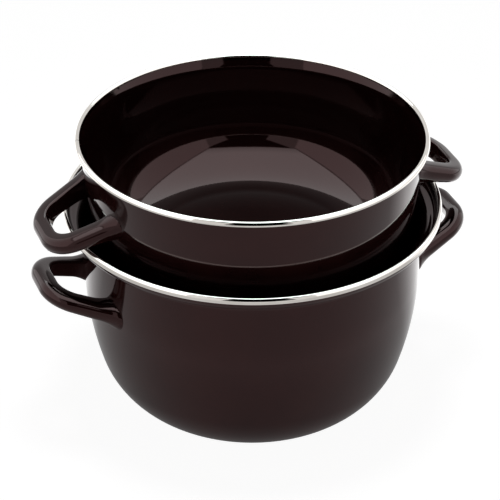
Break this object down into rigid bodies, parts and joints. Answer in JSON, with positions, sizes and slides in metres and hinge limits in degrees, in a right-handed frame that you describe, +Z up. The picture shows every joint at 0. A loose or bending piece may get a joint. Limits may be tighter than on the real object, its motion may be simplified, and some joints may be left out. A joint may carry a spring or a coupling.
{
  "type": "mussel pot",
  "caption": "Deep round-bottomed enamelled steel pot with steel rim bands and loop handles, its deep lid standing upright in the mouth as a dish for shells.",
  "frame": {"origin": "middle of the pot's flat base, on the surface it stands on", "axes": "+Z up along the axis of the pot and the dish, +X out through the right handles"},
  "size_m": [0.286, 0.239, 0.1868],
  "materials": {
    "enamel": "glossy dark brown vitreous enamel on steel",
    "rim_steel": "polished stainless steel with fine turning lines"
  },
  "bodies": {
    "pot": {"pot_body": "enamel", "pot_rim_ring": "rim_steel", "pot_handle_left": "enamel", "pot_handle_right": "enamel"},
    "dish": {"dish_body": "enamel", "dish_rim_ring": "rim_steel", "dish_handle_left": "enamel", "dish_handle_right": "enamel"}
  },
  "joints": [
    {"name": "dish_lift", "type": "slide", "parent": "pot", "child": "dish", "axis": [0, 0, 1], "range_m": [0, 0.09]}
  ]
}
